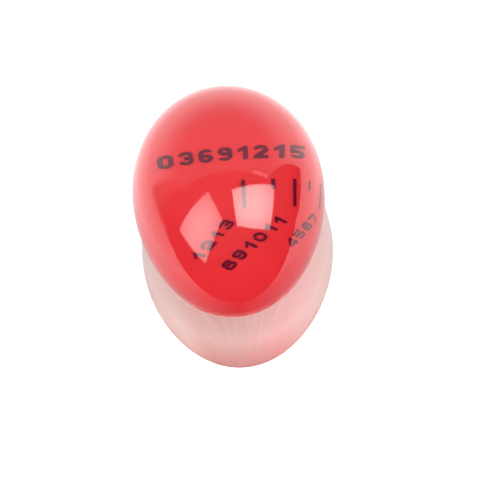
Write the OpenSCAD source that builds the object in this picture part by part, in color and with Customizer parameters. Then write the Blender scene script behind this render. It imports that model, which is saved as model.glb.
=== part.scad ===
// Colour-changing egg timer that is boiled in the pan beside the eggs.
// A clear half egg sits on a thin red layer with a printed scale, and the layer sits on a clear flared base.
// The long axis runs along Y with the blunt end at +Y, and Z = 0 is the table.

/* [Dome] */
// Width of the egg halfway along it
dome_w = 36.9; // [30:0.1:45]
// Length of the egg from end to end
dome_l = 48.0; // [40:0.1:60]
// How much wider the blunt end is than the narrow end
bluntness = 0.126; // [0:0.002:0.2]
// Height of the egg's long axis above the table
dome_axis_h = 15.1; // [14:0.1:17]

/* [Layer and base] */
// Height of the clear base
base_h = 11.7; // [8:0.1:13]
// Thickness of the colour-changing layer
layer_t = 1.0; // [0.6:0.1:2]
// Width of the base where it stands, halfway along it
base_w = 43.0; // [38:0.1:50]
// Length of the base where it stands
base_l = 56.0; // [50:0.1:66]
// How far the flared wall bulges past a straight slope
base_bulge = 0.25; // [0:0.05:1]
// Radius of the broken edge around the ground bottom face
base_edge = 0.4; // [0.2:0.1:1]

/* [Scale ticks] */
// Thickness of the printed ink
ink_t = 0.10; // [0.05:0.01:0.3]
// Width of the widest printed ticks
tick_w = 0.42; // [0.2:0.02:0.8]
// Length of a long tick
tick_long = 5.1; // [3:0.1:6]
// Length of a short tick
tick_short = 1.85; // [1:0.05:3]
// Height of the ticks' upper ends on the printed face
tick_top_y = 3.4; // [2:0.1:5]

/* [Numbers] */
// Height of the numbers in the heading row
title_cap = 2.4; // [1.5:0.1:3]
// Length of the heading row
title_run = 15.5; // [12:0.1:18]
// Height of the numbers in the middle slanting row; the other two are a little lower
label_cap = 1.65; // [1.2:0.05:2]

/* [Hidden] */
$fn = 144;

egg_steps = 48;                     // straight steps along the egg's half outline
ring_points = 96;                   // points around one ring of the base
wall_rings = 8;                     // rings up the base's wall
edge_rings = 3;                     // rings round the broken bottom edge
print_z = base_h + layer_t;         // the printed face, on top of the layer
drop = dome_axis_h - base_h;        // how far the base's top lies below the egg's long axis
far = 100;                          // longer than any side of the timer

// One tick after another, long and short in turn: place across the scale, share of the full width
ticks = [[1.45, 1], [4.8, 1], [7.2, 0.78], [8.95, 0.42], [10.8, 0.6]];

// A row of numbers is [numbers as lists of digits, start x, start y, angle, length, height, stroke share];
// the stroke share is the width of a stroke as a share of the height
title_row = [[[0], [3], [6], [9], [1, 2], [1, 5]], -7.3, 7.4, 0, title_run, title_cap, 0.21];
hard_row = [[[1, 2], [1, 3]], -3.9, -10.4, 55, 7.4, label_cap - 0.12, 0.22];
medium_row = [[[8], [9], [1, 0], [1, 1]], -0.6, -12.8, 50, 11.1, label_cap, 0.22];
soft_row = [[[4], [5], [6], [7]], 7.0, -9.4, 57, 7.0, label_cap - 0.2, 0.18];
digit_gap = 0.18;                   // space between digits, in digit widths
number_gap = 0.35;                  // space between numbers, in digit widths

// Half width of an egg of half width a, at u from -1 (narrow end) to 1 (blunt end)
function egg_half(a, u) = a * sqrt(max(0, 1 - u * u)) * (1 + bluntness * u);

// Half width of the egg's flat slice, at the height h below its long axis
function slice_half(u, h) = sqrt(max(0, pow(egg_half(dome_w / 2, u), 2) - h * h));

// Where along the egg the slice at height h ends, between u = near and u = end
function slice_end(h, near, end, turns = 24) =
    turns == 0 ? near
    : let (mid = (near + end) / 2)
      egg_half(dome_w / 2, mid) > h ? slice_end(h, mid, end, turns - 1)
                                    : slice_end(h, near, mid, turns - 1);

module egg() {
    rotate([-90, 0, 0])
        rotate_extrude()
            polygon([for (i = [0 : egg_steps])
                let (u = -cos(180 * i / egg_steps))
                [egg_half(dome_w / 2, u), dome_l / 2 * u]]);
}

// The slice of the egg between two heights above the table
module egg_slice(low, high) {
    intersection() {
        translate([0, 0, dome_axis_h]) egg();
        translate([-far / 2, -far / 2, low]) cube([far, far, high - low]);
    }
}

// Points of the base's top and bottom outlines, in step with each other
function top_outline() =
    let (narrow = slice_end(drop, 0, -1), blunt = slice_end(drop, 0, 1))
    [for (i = [0 : ring_points - 1])
        let (angle = 360 * i / ring_points,
             u = (blunt + narrow) / 2 + (blunt - narrow) / 2 * cos(angle),
             side = sin(angle) < 0 ? -1 : 1)
        [side * slice_half(u, drop), dome_l / 2 * u]];

function bottom_outline() =
    [for (i = [0 : ring_points - 1])
        let (angle = 360 * i / ring_points, side = sin(angle) < 0 ? -1 : 1)
        [side * egg_half(base_w / 2, cos(angle)), base_l / 2 * cos(angle)]];

// Share of the way from the bottom outline to the top one, at share s of the base's height
function wall_share(s) = s - 4 * s * (1 - s) * base_bulge / ((base_w - dome_w) / 2);

function blended(low, high, share, inset) =
    [for (i = [0 : ring_points - 1])
        let (p = low[i] * (1 - share) + high[i] * share)
        p * (1 - inset / norm(p))];

module clear_base() {
    color([0.93, 0.86, 0.85, 0.45]) difference() {
        flared_solid();
        translate([-far / 2, -far / 2, -far]) cube([far, far, far]);
    }
}

// The flared wall from a little below the table up to the layer, as one loft of rings
module flared_solid() {
    low = bottom_outline();
    high = top_outline();
    sunk = 0.5;
    heights = concat(
        [[-sunk, base_edge]],
        [for (i = [0 : edge_rings])
            let (turn = 90 * i / (edge_rings + 1))
            [base_edge * (1 - cos(turn)), base_edge * (1 - sin(turn))]],
        [for (i = [0 : wall_rings])
            [base_edge + (base_h - base_edge) * i / wall_rings, 0]]);
    rings = [for (h = heights) let (share = wall_share(max(0, h[0]) / base_h))
        [for (p = blended(low, high, share, h[1])) [p[0], p[1], h[0]]]];
    last = len(rings) - 1;
    polyhedron(
        points = [for (ring = rings) for (p = ring) p],
        faces = concat(
            [[for (i = [0 : ring_points - 1]) i]],
            [for (k = [0 : last - 1]) for (i = [0 : ring_points - 1])
                let (j = (i + 1) % ring_points, a = k * ring_points, b = a + ring_points)
                [a + i, b + i, a + j]],
            [for (k = [0 : last - 1]) for (i = [0 : ring_points - 1])
                let (j = (i + 1) % ring_points, a = k * ring_points, b = a + ring_points)
                [a + j, b + i, b + j]],
            [[for (i = [ring_points - 1 : -1 : 0]) last * ring_points + i]]));
}

module color_change_layer() {
    color([0.87, 0.10, 0.12]) egg_slice(base_h, print_z);
}

module clear_dome() {
    color([0.95, 0.80, 0.80, 0.45]) difference() {
        egg_slice(print_z, far);
        all_ink();
    }
}

// A block with ends or sides as round as they can be, whichever way it is longer
module pill(w, h) {
    r = min(w, h) / 2;
    for (x = [r, w - r])
        for (y = [r, h - r])
            translate([x, y]) circle(r);
    if (w > h) translate([r, 0]) square([w - h, h]);
    if (h > w) translate([0, r]) square([w, h - w]);
}

// Flat shapes of the digits: w wide, h high, with strokes s wide
module loop(w, h, s) {
    difference() {
        pill(w, h);
        translate([s, s]) pill(w - 2 * s, h - 2 * s);
    }
}

module digit_1(w, h, s) {
    stem_x = (w - s) / 2 + s * 0.3;
    translate([stem_x, 0]) square([s, h]);
    polygon([[stem_x + s * 0.5, h], [stem_x - w * 0.36, h - w * 0.34],
             [stem_x - w * 0.36, h - w * 0.34 - s], [stem_x + s * 0.5, h - s * 1.2]]);
}

module digit_2(w, h, s) {
    intersection() {
        loop(w, h, s);
        translate([0, h - w / 2]) square([w, w / 2]);
    }
    polygon([[w, h - w / 2], [w - s, h - w / 2], [0, s], [0, 0], [s, 0], [w, h - w / 2 - s * 0.6]]);
    square([w, s]);
}

module digit_3(w, h, s) {
    half = (h + s) / 2;
    difference() {
        union() {
            loop(w, half, s);
            translate([0, h - half]) loop(w, half, s);
        }
        translate([-w, h * 0.28]) square([w * 1.36, h * 0.44]);
    }
}

module digit_4(w, h, s) {
    bar_y = h * 0.22;
    translate([w - s * 1.5, 0]) square([s, h]);
    translate([0, bar_y]) square([w, s]);
    polygon([[s, bar_y + s / 2], [w - s, h], [w - s * 1.5, h], [0, bar_y + s], [0, bar_y + s / 2]]);
}

module digit_5(w, h, s) {
    bowl = h * 0.62;
    difference() {
        loop(w, bowl, s);
        translate([-w, h * 0.24]) square([w * 1.4, bowl]);
    }
    translate([0, bowl - s]) square([w * 0.5, s]);
    translate([0, bowl - s]) square([s, h - bowl + s]);
    translate([0, h - s]) square([w * 0.94, s]);
}

module digit_6(w, h, s) {
    loop(w, h * 0.6, s);
    intersection() {
        loop(w, h, s);
        union() {
            translate([0, h * 0.2]) square([w / 2, h]);
            translate([0, h - w * 0.34]) square([w, w]);
        }
    }
}

module digit_7(w, h, s) {
    translate([0, h - s]) square([w, s]);
    polygon([[w, h], [w - s * 1.1, h - s], [w * 0.2, 0], [w * 0.2 + s * 1.1, 0], [w, h - s]]);
}

module digit_8(w, h, s) {
    low = h * 0.5 + s * 0.7;
    loop(w, low, s);
    translate([w * 0.06, low - s]) loop(w * 0.88, h - low + s, s);
}

module digit_9(w, h, s) {
    translate([w, h]) rotate(180) digit_6(w, h, s);
}

module digit(n, w, h, s) {
    if (n == 0) loop(w, h, s);
    if (n == 1) digit_1(w, h, s);
    if (n == 2) digit_2(w, h, s);
    if (n == 3) digit_3(w, h, s);
    if (n == 4) digit_4(w, h, s);
    if (n == 5) digit_5(w, h, s);
    if (n == 6) digit_6(w, h, s);
    if (n == 7) digit_7(w, h, s);
    if (n == 8) digit_8(w, h, s);
    if (n == 9) digit_9(w, h, s);
}

function count_digits(numbers, i = 0) =
    i == len(numbers) ? 0 : len(numbers[i]) + count_digits(numbers, i + 1);

// Places, in digit widths, of all the digits in a row of numbers: [digit, place]
function digit_places(numbers, i = 0, x = 0) =
    i == len(numbers) ? []
    : concat([for (j = [0 : len(numbers[i]) - 1]) [numbers[i][j], x + j * (1 + digit_gap)]],
             digit_places(numbers, i + 1, x + len(numbers[i]) * (1 + digit_gap) - digit_gap + number_gap));

// One row of printed numbers on the printed face
module number_row(row) {
    numbers = row[0];
    n = count_digits(numbers);
    widths = n + (n - len(numbers)) * digit_gap + (len(numbers) - 1) * number_gap;
    w = row[4] / widths;
    cap = row[5];
    translate([row[1], row[2], print_z])
        rotate(row[3])
            linear_extrude(ink_t)
                for (place = digit_places(numbers))
                    translate([place[1] * w, 0]) digit(place[0], w, cap, cap * row[6]);
}

module title_numbers() {
    color([0.35, 0.08, 0.16]) number_row(title_row);
}

module hard_numbers() {
    color([0.35, 0.08, 0.16]) number_row(hard_row);
}

module medium_numbers() {
    color([0.35, 0.08, 0.16]) number_row(medium_row);
}

module soft_numbers() {
    color([0.35, 0.08, 0.16]) number_row(soft_row);
}

module scale_ticks() {
    color([0.35, 0.08, 0.16])
        for (i = [0 : len(ticks) - 1]) {
            length = i % 2 == 0 ? tick_long : tick_short;
            width = tick_w * ticks[i][1];
            translate([ticks[i][0] - width / 2, tick_top_y - length, print_z])
                cube([width, length, ink_t]);
        }
}

module all_ink() {
    title_numbers();
    scale_ticks();
    hard_numbers();
    medium_numbers();
    soft_numbers();
}

clear_base();
color_change_layer();
clear_dome();
title_numbers();
scale_ticks();
hard_numbers();
medium_numbers();
soft_numbers();
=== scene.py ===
import math

import bmesh
import bpy
from mathutils import Matrix, Quaternion, Vector


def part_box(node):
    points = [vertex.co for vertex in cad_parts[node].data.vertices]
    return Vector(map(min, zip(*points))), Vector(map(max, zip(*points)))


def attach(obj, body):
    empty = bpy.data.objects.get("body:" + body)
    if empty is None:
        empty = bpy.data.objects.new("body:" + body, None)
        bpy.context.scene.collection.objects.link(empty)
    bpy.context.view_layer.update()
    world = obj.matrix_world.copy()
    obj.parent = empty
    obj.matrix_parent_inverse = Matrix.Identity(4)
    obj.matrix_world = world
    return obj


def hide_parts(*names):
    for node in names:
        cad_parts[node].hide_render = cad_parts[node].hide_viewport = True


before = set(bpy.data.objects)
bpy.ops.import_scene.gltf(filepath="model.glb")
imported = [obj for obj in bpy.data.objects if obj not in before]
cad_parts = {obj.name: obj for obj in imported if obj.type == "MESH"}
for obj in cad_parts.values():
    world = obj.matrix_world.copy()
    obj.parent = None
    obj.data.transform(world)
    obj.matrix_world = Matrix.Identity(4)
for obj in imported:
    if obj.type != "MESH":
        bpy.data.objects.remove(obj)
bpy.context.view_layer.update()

MM = 0.001

# ---------------------------------------------------------------- shape of the egg, from the frame
BLUNTNESS = 0.126           # how much wider the blunt end is than the narrow end
CONTACT = 0.05 * MM         # how far the clear resin reaches into the red layer, to leave no air between
EDGE_RADIUS = 0.4 * MM      # broken edge around the ground bottom face
WALL_BULGE = 0.25 * MM      # how far the base's wall bulges past a straight slope

base_low, base_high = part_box("clear_base")
layer_low, layer_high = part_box("color_change_layer")
dome_low, dome_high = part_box("clear_dome")

# where along the egg it is widest, and its half width there as a share of its nominal half width
widest_u = (math.sqrt(1 + 8 * BLUNTNESS ** 2) - 1) / (4 * BLUNTNESS)
widest = math.sqrt(1 - widest_u ** 2) * (1 + BLUNTNESS * widest_u)
dome_radius = (dome_high.x - dome_low.x) / 2
egg_half_width = dome_radius / widest
egg_half_length = (dome_high.y - dome_low.y) / 2
axis_z = dome_high.z - dome_radius
waist_z = layer_low.z
print_z = layer_high.z
base_half_width = (base_high.x - base_low.x) / 2 / widest
base_half_length = (base_high.y - base_low.y) / 2


def egg_half(half_width, u):
    """Half width of the egg at u, from -1 at the narrow end to 1 at the blunt end."""
    return half_width * math.sqrt(max(0.0, 1 - u * u)) * (1 + BLUNTNESS * u)


def slice_half(u, z):
    """Half width of the flat slice through the egg at height z."""
    return math.sqrt(max(0.0, egg_half(egg_half_width, u) ** 2 - (z - axis_z) ** 2))


def slice_end(z, end):
    """Where along the egg its slice at height z closes, on the side of end."""
    near, far = widest_u, end
    for _ in range(40):
        middle = (near + far) / 2
        if egg_half(egg_half_width, middle) > abs(z - axis_z):
            near = middle
        else:
            far = middle
    return near


def slice_outline(z, count):
    """Points round the slice of the egg at height z."""
    narrow, blunt = slice_end(z, -1.0), slice_end(z, 1.0)
    points = []
    for i in range(count):
        angle = 2 * math.pi * i / count
        u = (blunt + narrow) / 2 + (blunt - narrow) / 2 * math.cos(angle)
        side = 1 if math.sin(angle) >= 0 else -1
        points.append(Vector((side * slice_half(u, z), egg_half_length * u, z)))
    return points


def foot_outline(count):
    """Points round the widest part of the base, just above its bottom edge."""
    points = []
    for i in range(count):
        angle = 2 * math.pi * i / count
        side = 1 if math.sin(angle) >= 0 else -1
        x = side * egg_half(base_half_width, math.cos(angle))
        points.append(Vector((x, base_half_length * math.cos(angle), 0)))
    return points


# ---------------------------------------------------------------- meshes
def piece_from(bm, name, sharp_degrees=30):
    """Turns a bmesh into a named object, smooth but for its corners."""
    bmesh.ops.recalc_face_normals(bm, faces=bm.faces)
    limit = math.radians(sharp_degrees)
    for edge in bm.edges:
        edge.smooth = not (edge.is_manifold and edge.calc_face_angle(0) > limit)
    for face in bm.faces:
        face.smooth = True
    mesh = bpy.data.meshes.new(name)
    bm.to_mesh(mesh)
    bm.free()
    piece = bpy.data.objects.new(name, mesh)
    bpy.context.scene.collection.objects.link(piece)
    return piece


def add_ring(bm, points, z, inset=0.0):
    """A ring of vertices through the points, moved to height z and drawn in by inset."""
    ring = []
    for point in points:
        flat = Vector((point.x, point.y, 0))
        flat *= 1 - inset / flat.length
        ring.append(bm.verts.new((flat.x, flat.y, z)))
    return ring


def join_rings(bm, rings):
    """Walls from each ring to the next."""
    for low, high in zip(rings, rings[1:]):
        for i in range(len(low)):
            j = (i + 1) % len(low)
            bm.faces.new((low[i], low[j], high[j], high[i]))


def dome_lens(name, count=288, steps=110):
    """The upper part of the egg, standing a little way into the red layer."""
    bm = bmesh.new()
    rim = slice_outline(print_z, count)
    rings = [add_ring(bm, rim, print_z - CONTACT, CONTACT), add_ring(bm, rim, print_z)]
    bm.faces.new(rings[0])
    for i in range(1, steps):
        z = print_z + (dome_high.z - print_z) * math.sin(math.pi / 2 * i / steps)
        rings.append(add_ring(bm, slice_outline(z, count), z))
    join_rings(bm, rings)
    top = bm.verts.new((0, egg_half_length * widest_u, dome_high.z))
    for i in range(count):
        bm.faces.new((rings[-1][i], rings[-1][(i + 1) % count], top))
    return piece_from(bm, name)


def red_disc(name, count=288, steps=6):
    """The thin slice of the egg between the two clear castings."""
    bm = bmesh.new()
    rings = []
    for i in range(steps + 1):
        z = waist_z + (print_z - waist_z) * i / steps
        rings.append(add_ring(bm, slice_outline(z, count), z))
    join_rings(bm, rings)
    for wall in bm.faces:
        wall.material_index = 1
    bm.faces.new(rings[0])
    bm.faces.new(rings[-1])
    return piece_from(bm, name)


def flared_base(name, count=288, wall_rings=24, edge_rings=5):
    """The clear base: a ground bottom face, a broken edge, a flared wall and a flat top."""
    bm = bmesh.new()
    foot, waist = foot_outline(count), slice_outline(waist_z, count)
    flare = base_half_width - slice_half(0, waist_z)
    rings = []
    for i in range(edge_rings):
        turn = math.pi / 2 * i / edge_rings
        height = EDGE_RADIUS * (1 - math.cos(turn))
        inset = EDGE_RADIUS * (1 - math.sin(turn))
        rings.append(add_ring(bm, foot, height, inset))
    for i in range(wall_rings + 1):
        s = i / wall_rings
        share = s - 4 * s * (1 - s) * WALL_BULGE / flare
        wall = [low.lerp(high, share) for low, high in zip(foot, waist)]
        rings.append(add_ring(bm, wall, EDGE_RADIUS + (waist_z - EDGE_RADIUS) * s))
    rings.append(add_ring(bm, waist, waist_z + CONTACT, CONTACT))
    join_rings(bm, rings)
    bm.faces.new(rings[0]).material_index = 1
    bm.faces.new(rings[-1])
    return piece_from(bm, name)


# ---------------------------------------------------------------- materials
RED_MIDDLE = (0.385, 0.0150, 0.0185)    # the layer under the middle of the dome
RED_RIM_PAINTED_LIGHT = (0.450, 0.0130, 0.0185)       # and near its outline, painted richer there as painted light
FRONT_PAINTED_LIGHT = 1.15                      # painted light: how much brighter the layer is towards the narrow end
EDGE_DEEP = (0.290, 0.0142, 0.0195)     # the layer's open edge, where it is darkest
EDGE_BRIGHT = (0.370, 0.0177, 0.0230)   # where it is brightest
EDGE_CHIP = (0.45, 0.110, 0.110)        # and where it is nicked
INK_DARK = (0.053, 0.001, 0.009)
INK_THIN = (0.093, 0.001, 0.013)
GROUND_PALE = (1.0, 0.90, 0.86)         # the ground bottom face in its middle: pale, with a little painted pink light from the red layer
GROUND_PAINTED_PINK_LIGHT = (1.0, 0.66, 0.62)         # and at the ends of its outline: painted pink light from the red layer
# painted light on the ground face, from its middle to its outline: [share of the way, brightness]
PAINTED_LIGHT_CRESCENT = ((0.50, 0.92), (0.62, 0.93), (0.72, 1.0), (0.80, 0.97), (0.93, 1.0), (0.98, 0.93))
# painted shade and painted pink light on the ground face, darkest in its middle and pinker on the right,
# from its left side to its right side: [share of the way, tint]
PAINTED_SHADE_ACROSS = (
    (0.12, (1.00, 0.84, 0.83)),
    (0.25, (0.88, 0.82, 0.79)),
    (0.36, (0.72, 0.57, 0.55)),
    (0.48, (0.72, 0.59, 0.575)),
    (0.65, (0.83, 0.59, 0.60)),
    (0.80, (0.92, 0.80, 0.78)),
)
PAINTED_PINK_BAND = (0.68, 0.90)                # where the painted pink light takes over from pale, as a share of the way
PAINTED_PINK_SIDES = 0.55                       # how much a distance to the side counts in that share
LINE_COUNT = 70                         # sanding lines across the ground face
LINE_BENDS = 2.5                        # how often they change along their length
LINE_DEPTH = (0.11, 0.03)               # how dark they are, in the middle and at the sides


class Graph:
    """A short way to write node graphs: each call adds a node and returns what comes out of it."""

    def __init__(self, tree):
        self.nodes = tree.nodes
        self.links = tree.links

    def feed(self, socket, value):
        if isinstance(value, bpy.types.NodeSocket):
            self.links.new(value, socket)
        else:
            socket.default_value = value

    def source(self, kind, output):
        return self.nodes.new(kind).outputs[output]

    def math(self, operation, *values):
        node = self.nodes.new("ShaderNodeMath")
        node.operation = operation
        for socket, value in zip(node.inputs, values):
            self.feed(socket, value)
        return node.outputs[0]

    def split(self, vector):
        node = self.nodes.new("ShaderNodeSeparateXYZ")
        self.links.new(vector, node.inputs[0])
        return node.outputs

    def ramp_range(self, value, low, high, at_low, at_high):
        """Goes smoothly from at_low to at_high while the value goes from low to high."""
        node = self.nodes.new("ShaderNodeMapRange")
        node.interpolation_type = "SMOOTHSTEP"
        for name, setting in (("Value", value), ("From Min", low), ("From Max", high),
                              ("To Min", at_low), ("To Max", at_high)):
            self.feed(node.inputs[name], setting)
        return node.outputs[0]

    def mix(self, factor, a, b):
        node = self.nodes.new("ShaderNodeMix")
        node.data_type = "FLOAT"
        for name, setting in (("Factor", factor), ("A", a), ("B", b)):
            self.feed(node.inputs[name], setting)
        return node.outputs[0]

    def length(self, a, b):
        squares = self.math("ADD", self.math("MULTIPLY", a, a), self.math("MULTIPLY", b, b))
        return self.math("SQRT", squares)

    def shade(self, colour, level):
        """The colour multiplied by a level. Sockets 6, 7 and 2 are the colour ones of this node."""
        node = self.nodes.new("ShaderNodeMix")
        node.data_type = "RGBA"
        node.blend_type = "MULTIPLY"
        node.inputs[0].default_value = 1
        self.feed(node.inputs[6], colour)
        self.feed(node.inputs[7], level)
        return node.outputs[2]

    def noise(self, vector, scale, detail=2.0, stretch=(1, 1, 1)):
        place = self.nodes.new("ShaderNodeMapping")
        place.inputs["Scale"].default_value = stretch
        node = self.nodes.new("ShaderNodeTexNoise")
        node.inputs["Scale"].default_value = scale
        node.inputs["Detail"].default_value = detail
        self.links.new(vector, place.inputs["Vector"])
        self.links.new(place.outputs[0], node.inputs["Vector"])
        return node.outputs["Fac"]

    def ramp(self, value, *stops):
        node = self.nodes.new("ShaderNodeValToRGB")
        elements = node.color_ramp.elements
        while len(elements) < len(stops):
            elements.new(0.5)
        for element, (position, colour) in zip(elements, stops):
            element.position = position
            element.color = (*colour, 1)
        self.feed(node.inputs["Fac"], value)
        return node.outputs["Color"]


def new_material(name, roughness, specular=0.5):
    """A material with one Principled shader, and its graph."""
    material = bpy.data.materials.new(name)
    material.use_nodes = True
    shader = material.node_tree.nodes["Principled BSDF"]
    shader.inputs["Roughness"].default_value = roughness
    shader.inputs["Specular IOR Level"].default_value = specular
    return material, Graph(material.node_tree), shader


def clear_resin(name, tint, roughness=0.012, ior=1.54):
    """Polished cast resin, clear."""
    material, _, shader = new_material(name, roughness)
    shader.inputs["Base Color"].default_value = (*tint, 1)
    shader.inputs["Transmission Weight"].default_value = 1
    shader.inputs["IOR"].default_value = ior
    return material


def egg_reach(graph, half_width, half_length):
    """How far a point lies from the middle of an egg, 1 at its outline, and where it is across and along."""
    x, y, _ = graph.split(graph.source("ShaderNodeTexCoord", "Object"))
    along = graph.math("DIVIDE", y, half_length)
    width = graph.math("MULTIPLY_ADD", along, half_width * BLUNTNESS, half_width)
    across = graph.math("DIVIDE", x, width)
    return graph.length(across, along), across, along


def red_layer():
    """Opaque heat-sensitive red, a little mottled, with painted light: richer at the rim and brighter
    towards the front.
    """
    material, graph, shader = new_material("heat_sensitive_red", roughness=0.6, specular=0.0)
    reach, _, along = egg_reach(graph, egg_half_width, egg_half_length)
    mottle = graph.noise(graph.source("ShaderNodeTexCoord", "Object"), scale=260, detail=4)
    # painted light: richer red towards the rim, and brighter red towards the narrow end
    tone = graph.ramp(reach, (0.30, RED_MIDDLE), (0.95, RED_RIM_PAINTED_LIGHT))
    tone = graph.shade(tone, graph.ramp_range(along, -0.95, -0.25, FRONT_PAINTED_LIGHT, 1.0))
    colour = graph.shade(tone, graph.ramp_range(mottle, 0.3, 0.7, 0.96, 1.0))
    graph.feed(shader.inputs["Base Color"], colour)
    return material


def layer_edge():
    """The edge of the red layer, open to the air around the waist: deeper red, dull, with paler nicks."""
    material, graph, shader = new_material("red_edge", roughness=0.45, specular=0.3)
    mottle = graph.noise(graph.source("ShaderNodeTexCoord", "Object"), scale=700, detail=3)
    colour = graph.ramp(mottle, (0.35, EDGE_DEEP), (0.56, EDGE_BRIGHT), (0.60, EDGE_CHIP))
    graph.feed(shader.inputs["Base Color"], colour)
    return material


def printed_ink():
    """Dark maroon ink, slightly uneven in density."""
    material, graph, shader = new_material("printed_ink", roughness=0.8, specular=0.0)
    place = graph.source("ShaderNodeTexCoord", "Object")
    density = graph.noise(place, scale=1500)
    colour = graph.ramp(density, (0.30, INK_DARK), (0.75, INK_THIN))
    graph.feed(shader.inputs["Base Color"], colour)
    return material


def sanding_lines(graph, across, along):
    """Level of fine lines that bend with the outline and fade towards the sides."""
    backwards = graph.math("MULTIPLY", along, -1.0)
    roundness = graph.math("MULTIPLY_ADD", along, backwards, 1.0)
    roundness = graph.math("SQRT", graph.math("MAXIMUM", roundness, 0.02))
    curved = graph.nodes.new("ShaderNodeCombineXYZ")
    graph.feed(curved.inputs[0], graph.math("DIVIDE", across, roundness))
    graph.feed(curved.inputs[1], along)
    lines = graph.noise(curved.outputs[0], scale=1, detail=3, stretch=(LINE_COUNT, LINE_BENDS, 1))
    depth = graph.ramp_range(graph.math("ABSOLUTE", across), 0.05, 0.45, *LINE_DEPTH)
    darkness = graph.math("MULTIPLY", graph.ramp_range(lines, 0.35, 0.70, 1.0, 0.0), depth)
    return graph.math("SUBTRACT", 1.0, darkness)


def ground_face():
    """The bottom face, ground flat: pale, with painted pink light towards the ends of the rim, a painted
    light crescent, painted shade in its middle, and fine sanding lines.
    """
    material, graph, shader = new_material("ground_bottom", roughness=0.7, specular=0.0)
    reach, across, along = egg_reach(graph, base_half_width, base_half_length)
    pink_from, pink_to = PAINTED_PINK_BAND
    towards_end = graph.length(graph.math("MULTIPLY", across, PAINTED_PINK_SIDES), along)
    # painted pink light from the red layer, strongest towards the ends of the outline
    tone = graph.ramp(towards_end, (pink_from, GROUND_PALE), (pink_to, GROUND_PAINTED_PINK_LIGHT))
    # painted light: a brighter crescent between the middle and the outline
    painted_light_crescent = graph.ramp(reach, *((place, (value, value, value)) for place, value in PAINTED_LIGHT_CRESCENT))
    # painted shade in the middle, and painted pink light towards the right
    painted_shade_across = graph.ramp(graph.math("MULTIPLY_ADD", across, 0.5, 0.5), *PAINTED_SHADE_ACROSS)
    for level in (painted_light_crescent, painted_shade_across, sanding_lines(graph, across, along)):
        tone = graph.shade(tone, level)
    graph.feed(shader.inputs["Base Color"], tone)
    return material


# ---------------------------------------------------------------- the timer
def build_timer():
    """Three new pieces in place of the castings and the layer, and ink on the CAD's print."""
    dome = dome_lens("dome_lens")
    dome.data.materials.append(clear_resin("dome_resin", (1, 1, 1)))
    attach(dome, "root")
    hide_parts("clear_dome")

    layer = red_disc("red_disc")
    layer.data.materials.append(red_layer())
    layer.data.materials.append(layer_edge())
    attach(layer, "root")
    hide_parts("color_change_layer")

    base = flared_base("flared_base")
    base.data.materials.append(clear_resin("base_resin", (1, 0.99, 0.985)))
    base.data.materials.append(ground_face())
    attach(base, "root")
    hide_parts("clear_base")

    ink = printed_ink()
    for node in ("title_numbers", "scale_ticks", "hard_numbers", "medium_numbers", "soft_numbers"):
        print_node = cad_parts[node]
        print_node.data.materials.clear()
        print_node.data.materials.append(ink)


# ---------------------------------------------------------------- the studio
FLOOR_SIZE = 3.0            # metres
SOFTBOX_SCALE = 0.6         # metres per unit of the softboxes' directions below
# name, middle, vector along the width, vector along the height, brightness, how it changes across and up
SOFTBOXES = (
    ("left_softbox", (-0.453, -0.366, 0.658), (0.257, -0.426, -0.077), (0.365, 0.070, 0.845),
     5.7, 0.0, -0.18),
    ("right_softbox", (0.443, -0.292, 0.719), (0.616, 0.182, -0.501), (-0.111, 0.478, 0.125),
     9.2, -0.08, 0.08),
)
SOFTBOX_AIM = Vector((0, -9, 26)) * MM  # the part of the dome that the directions start from
SOFTBOX_FADES = ((0.05, 0.2), (0.40, 0.76))     # share of the side, and brightness at the border
SOFT_LIGHT = (4.4, 0.28)    # brightness of the white tent as light on the object, low down and high up
MIRROR_TENT = (1.5, 0.8)    # brightness of the tent as the gloss shows it, low down and high up
MIRROR_ROOM = (0.03, 0.30)  # brightness of the dark room in front, the same way

# the white sheet on the table: its own colour, then what the gloss shows of it
SHEET_WHITE = (0.88, 0.88, 0.88)
SHEET_END_LEFT = (0.16, -46 * MM)       # slope of its front edge, and y of that edge at x = 0
SHEET_END_RIGHT = (-0.06, -43 * MM)
SHEET_FORWARD = -55 * MM                # as far forward as the right part of the edge comes
SHEET_BRIGHT = (0.023 / MM, 0.15)       # brightness gained per metre from the object, and close to it
SHEET_MOST = 1.6                        # its greatest brightness

# the tent's front opening, in directions from the object: x to the right, y to the back, z up
OPENING_BACK = 0.08                     # y of its upper edge
OPENING_LEFT = (-0.69, 1.3)             # x where that edge turns back on the left, and how fast
OPENING_RIGHT = (0.71, 1.8)             # and on the right
SILL_LEFT = (0.75, 0.09, 0.08)          # z of its lower edge: rise per y, z at y = 0, and greatest z
SILL_RIGHT = (0.3, -0.04, 0.06)
BLUR_LEFT, BLUR_RIGHT = 0.08, 0.02      # softness of its edges on the far left, and elsewhere
BLUR_CHANGE = -0.6                      # x where the softness changes
HAZE = 0.45                             # stray brightness in the back left part of the room
HEM_PAST = 0.02                         # how far past that edge the tent's lit hem lies
HEM_WIDTH = 0.035                       # how wide the hem is, to each side
HEM_BRIGHT = 1.2
HEM_MIDDLE = 0.60                       # x of the stretch that is lit, beside the right lamp


def mirror_ray(graph):
    """1 for rays that the gloss has reflected, 0 for light that went through the resin or came off it."""
    path = graph.nodes.new("ShaderNodeLightPath")
    outside = graph.math("SUBTRACT", 1.0, path.outputs["Is Transmission Ray"])
    return graph.math("MULTIPLY", path.outputs["Is Glossy Ray"], outside)


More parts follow.
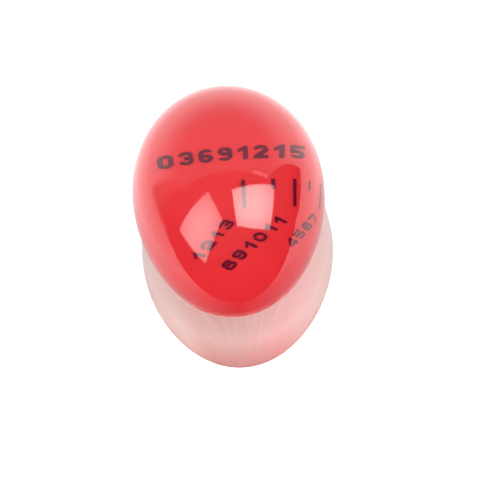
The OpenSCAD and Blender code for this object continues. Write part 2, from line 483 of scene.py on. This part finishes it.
def sheet_in_gloss(graph):
    """Brightness of the white sheet as the gloss shows it, a painted glow: painted shade near the object,
    and ended in front.
    """
    x, y, _ = graph.split(graph.source("ShaderNodeNewGeometry", "Position"))
    edge_left = graph.math("MULTIPLY_ADD", x, *SHEET_END_LEFT)
    edge_right = graph.math("MULTIPLY_ADD", x, *SHEET_END_RIGHT)
    edge_right = graph.math("MAXIMUM", edge_right, SHEET_FORWARD)
    edge = graph.mix(graph.math("GREATER_THAN", x, 0.0), edge_left, edge_right)
    away = graph.length(x, graph.math("MAXIMUM", y, 0.0))
    bright = graph.math("MULTIPLY_ADD", away, *SHEET_BRIGHT)
    bright = graph.math("MINIMUM", bright, SHEET_MOST)
    return graph.mix(graph.math("GREATER_THAN", y, edge), MIRROR_ROOM[0], bright)


def white_sheet():
    """White sheet on the table; in the gloss it is a painted glow of its own."""
    material, graph, shader = new_material("white_sheet", roughness=0.9, specular=0.0)
    shader.inputs["Base Color"].default_value = (*SHEET_WHITE, 1)
    glow = graph.nodes.new("ShaderNodeEmission")
    graph.feed(glow.inputs["Strength"], sheet_in_gloss(graph))
    surface = graph.nodes.new("ShaderNodeMixShader")
    graph.feed(surface.inputs["Fac"], mirror_ray(graph))
    graph.links.new(shader.outputs["BSDF"], surface.inputs[1])
    graph.links.new(glow.outputs["Emission"], surface.inputs[2])
    graph.links.new(surface.outputs["Shader"], graph.nodes["Material Output"].inputs["Surface"])
    return material


def build_floor():
    """The sheet's surface, just below the base."""
    bm = bmesh.new()
    half = FLOOR_SIZE / 2
    corners = ((-half, -half), (half, -half), (half, half), (-half, half))
    bm.faces.new([bm.verts.new((x, y, -CONTACT)) for x, y in corners])
    floor = piece_from(bm, "floor")
    floor.data.materials.append(white_sheet())


def softbox_surface(light, across_change, up_change):
    """Brightness of a softbox over its surface, with a soft border."""
    light.use_nodes = True
    graph = Graph(light.node_tree)
    u, v, _ = graph.split(graph.source("ShaderNodeNewGeometry", "Parametric"))
    level = graph.math("MULTIPLY_ADD", graph.math("SUBTRACT", u, 0.5), 2 * across_change, 1.0)
    level = graph.math("MULTIPLY_ADD", graph.math("SUBTRACT", v, 0.5), 2 * up_change, level)
    for side in (u, v):
        from_middle = graph.math("ABSOLUTE", graph.math("SUBTRACT", side, 0.5))
        inward = graph.math("SUBTRACT", 0.5, from_middle)
        for width, border in SOFTBOX_FADES:
            level = graph.math("MULTIPLY", level, graph.ramp_range(inward, 0.0, width, border, 1.0))
    graph.feed(graph.nodes["Emission"].inputs["Strength"], level)


def build_softboxes():
    """Two lamps, each a rectangle that faces the object."""
    for name, middle, across, up, brightness, across_change, up_change in SOFTBOXES:
        middle = Vector(middle) * SOFTBOX_SCALE + SOFTBOX_AIM
        across = Vector(across) * SOFTBOX_SCALE
        up = Vector(up) * SOFTBOX_SCALE
        x_axis = across.normalized()
        z_axis = x_axis.cross(up).normalized()
        y_axis = z_axis.cross(x_axis)
        light = bpy.data.lights.new(name, "AREA")
        light.shape = "RECTANGLE"
        light.size = across.length
        light.size_y = up.length
        light.energy = brightness * math.pi * across.length * up.length
        softbox_surface(light, across_change, up_change)
        lamp = bpy.data.objects.new(name, light)
        facing = -1 if z_axis.dot(middle) < 0 else 1
        lamp.matrix_world = Matrix((
            (x_axis.x, facing * y_axis.x, facing * z_axis.x, middle.x),
            (x_axis.y, facing * y_axis.y, facing * z_axis.y, middle.y),
            (x_axis.z, facing * y_axis.z, facing * z_axis.z, middle.z),
            (0, 0, 0, 1)))
        bpy.context.scene.collection.objects.link(lamp)


def sill(graph, y, rise, start, greatest):
    """Height of the opening's lower edge."""
    return graph.math("MINIMUM", graph.math("MULTIPLY_ADD", y, rise, start), greatest)


def tent_front(graph, x, y, z):
    """How far a direction lies past the edge of the tent's front opening: below 0 it is in the opening."""
    left_corner, left_turn = OPENING_LEFT
    right_corner, right_turn = OPENING_RIGHT
    left = graph.math("MAXIMUM", graph.math("SUBTRACT", left_corner, x), 0.0)
    right = graph.math("MAXIMUM", graph.math("SUBTRACT", x, right_corner), 0.0)
    back = graph.math("MULTIPLY_ADD", right, right_turn, OPENING_BACK)
    back = graph.math("MULTIPLY_ADD", left, left_turn, back)
    on_right = graph.math("GREATER_THAN", x, 0.0)
    low = graph.mix(on_right, sill(graph, y, *SILL_LEFT), sill(graph, y, *SILL_RIGHT))
    return graph.math("MAXIMUM", graph.math("SUBTRACT", y, back), graph.math("SUBTRACT", low, z))


def lit_hem(graph, x, past):
    """Brightness of the tent's hem beside the right lamp."""
    from_hem = graph.math("ABSOLUTE", graph.math("SUBTRACT", past, HEM_PAST))
    from_middle = graph.math("ABSOLUTE", graph.math("SUBTRACT", x, HEM_MIDDLE))
    hem = graph.ramp_range(from_hem, 0.0, HEM_WIDTH, HEM_BRIGHT, 0.0)
    return graph.math("MULTIPLY", hem, graph.ramp_range(from_middle, 0.08, 0.14, 1.0, 0.0))


def tent_in_gloss(graph, x, y, z):
    """Brightness around the object as the gloss shows it: the tent, the dark room and a lit hem between."""
    past = tent_front(graph, x, y, z)
    tent = graph.ramp_range(z, 0.25, 0.70, *MIRROR_TENT)
    haze = graph.ramp_range(y, -0.05, 0.30, 0.0, HAZE)
    haze = graph.math("MULTIPLY", haze, graph.ramp_range(x, -0.75, -0.45, 1.0, 0.0))
    room = graph.math("ADD", graph.ramp_range(z, 0.0, 1.0, *MIRROR_ROOM), haze)
    blur = graph.mix(graph.math("GREATER_THAN", x, BLUR_CHANGE), BLUR_LEFT, BLUR_RIGHT)
    level = graph.ramp_range(past, graph.math("MULTIPLY", blur, -1.0), blur, room, tent)
    return graph.math("ADD", level, lit_hem(graph, x, past))


def build_world():
    """A white tent, open to a dark room in front. Only the gloss shows the room."""
    world = bpy.data.worlds.new("studio")
    bpy.context.scene.world = world
    world.use_nodes = True
    graph = Graph(world.node_tree)
    x, y, z = graph.split(graph.source("ShaderNodeTexCoord", "Generated"))
    camera_ray = graph.source("ShaderNodeLightPath", "Is Camera Ray")
    light = graph.mix(camera_ray, graph.ramp_range(z, 0.35, 0.85, *SOFT_LIGHT), 1.0)
    strength = graph.mix(mirror_ray(graph), light, tent_in_gloss(graph, x, y, z))
    background = graph.nodes["Background"]
    graph.feed(background.inputs["Color"], (1, 1, 1, 1))
    graph.feed(background.inputs["Strength"], strength)


# ---------------------------------------------------------------- the camera
# it stands in front of the timer and above it, and is rolled a little
CAMERA_AT = Vector((3.5, -55.7, 73.1)) * MM
CAMERA_LOOK = Vector((2.85, -7.8, 9.05)) * MM
CAMERA_ROLL = math.radians(6.8)
CAMERA_LENS = 29.46         # millimetres
CAMERA_SENSOR = 36          # millimetres wide


def build_camera():
    """The picture's camera."""
    camera = bpy.data.cameras.new("camera")
    camera.sensor_width = CAMERA_SENSOR
    camera.lens = CAMERA_LENS
    camera.clip_start = 0.001
    camera.clip_end = 10
    holder = bpy.data.objects.new("camera", camera)
    forward = (CAMERA_LOOK - CAMERA_AT).normalized()
    aim = forward.to_track_quat("-Z", "Y")
    holder.rotation_mode = "QUATERNION"
    holder.rotation_quaternion = Quaternion(forward, CAMERA_ROLL) @ aim
    holder.location = CAMERA_AT
    bpy.context.scene.collection.objects.link(holder)
    bpy.context.scene.camera = holder


build_camera()
build_timer()
build_floor()
build_softboxes()
build_world()
bpy.context.scene.view_settings.view_transform = "Standard"
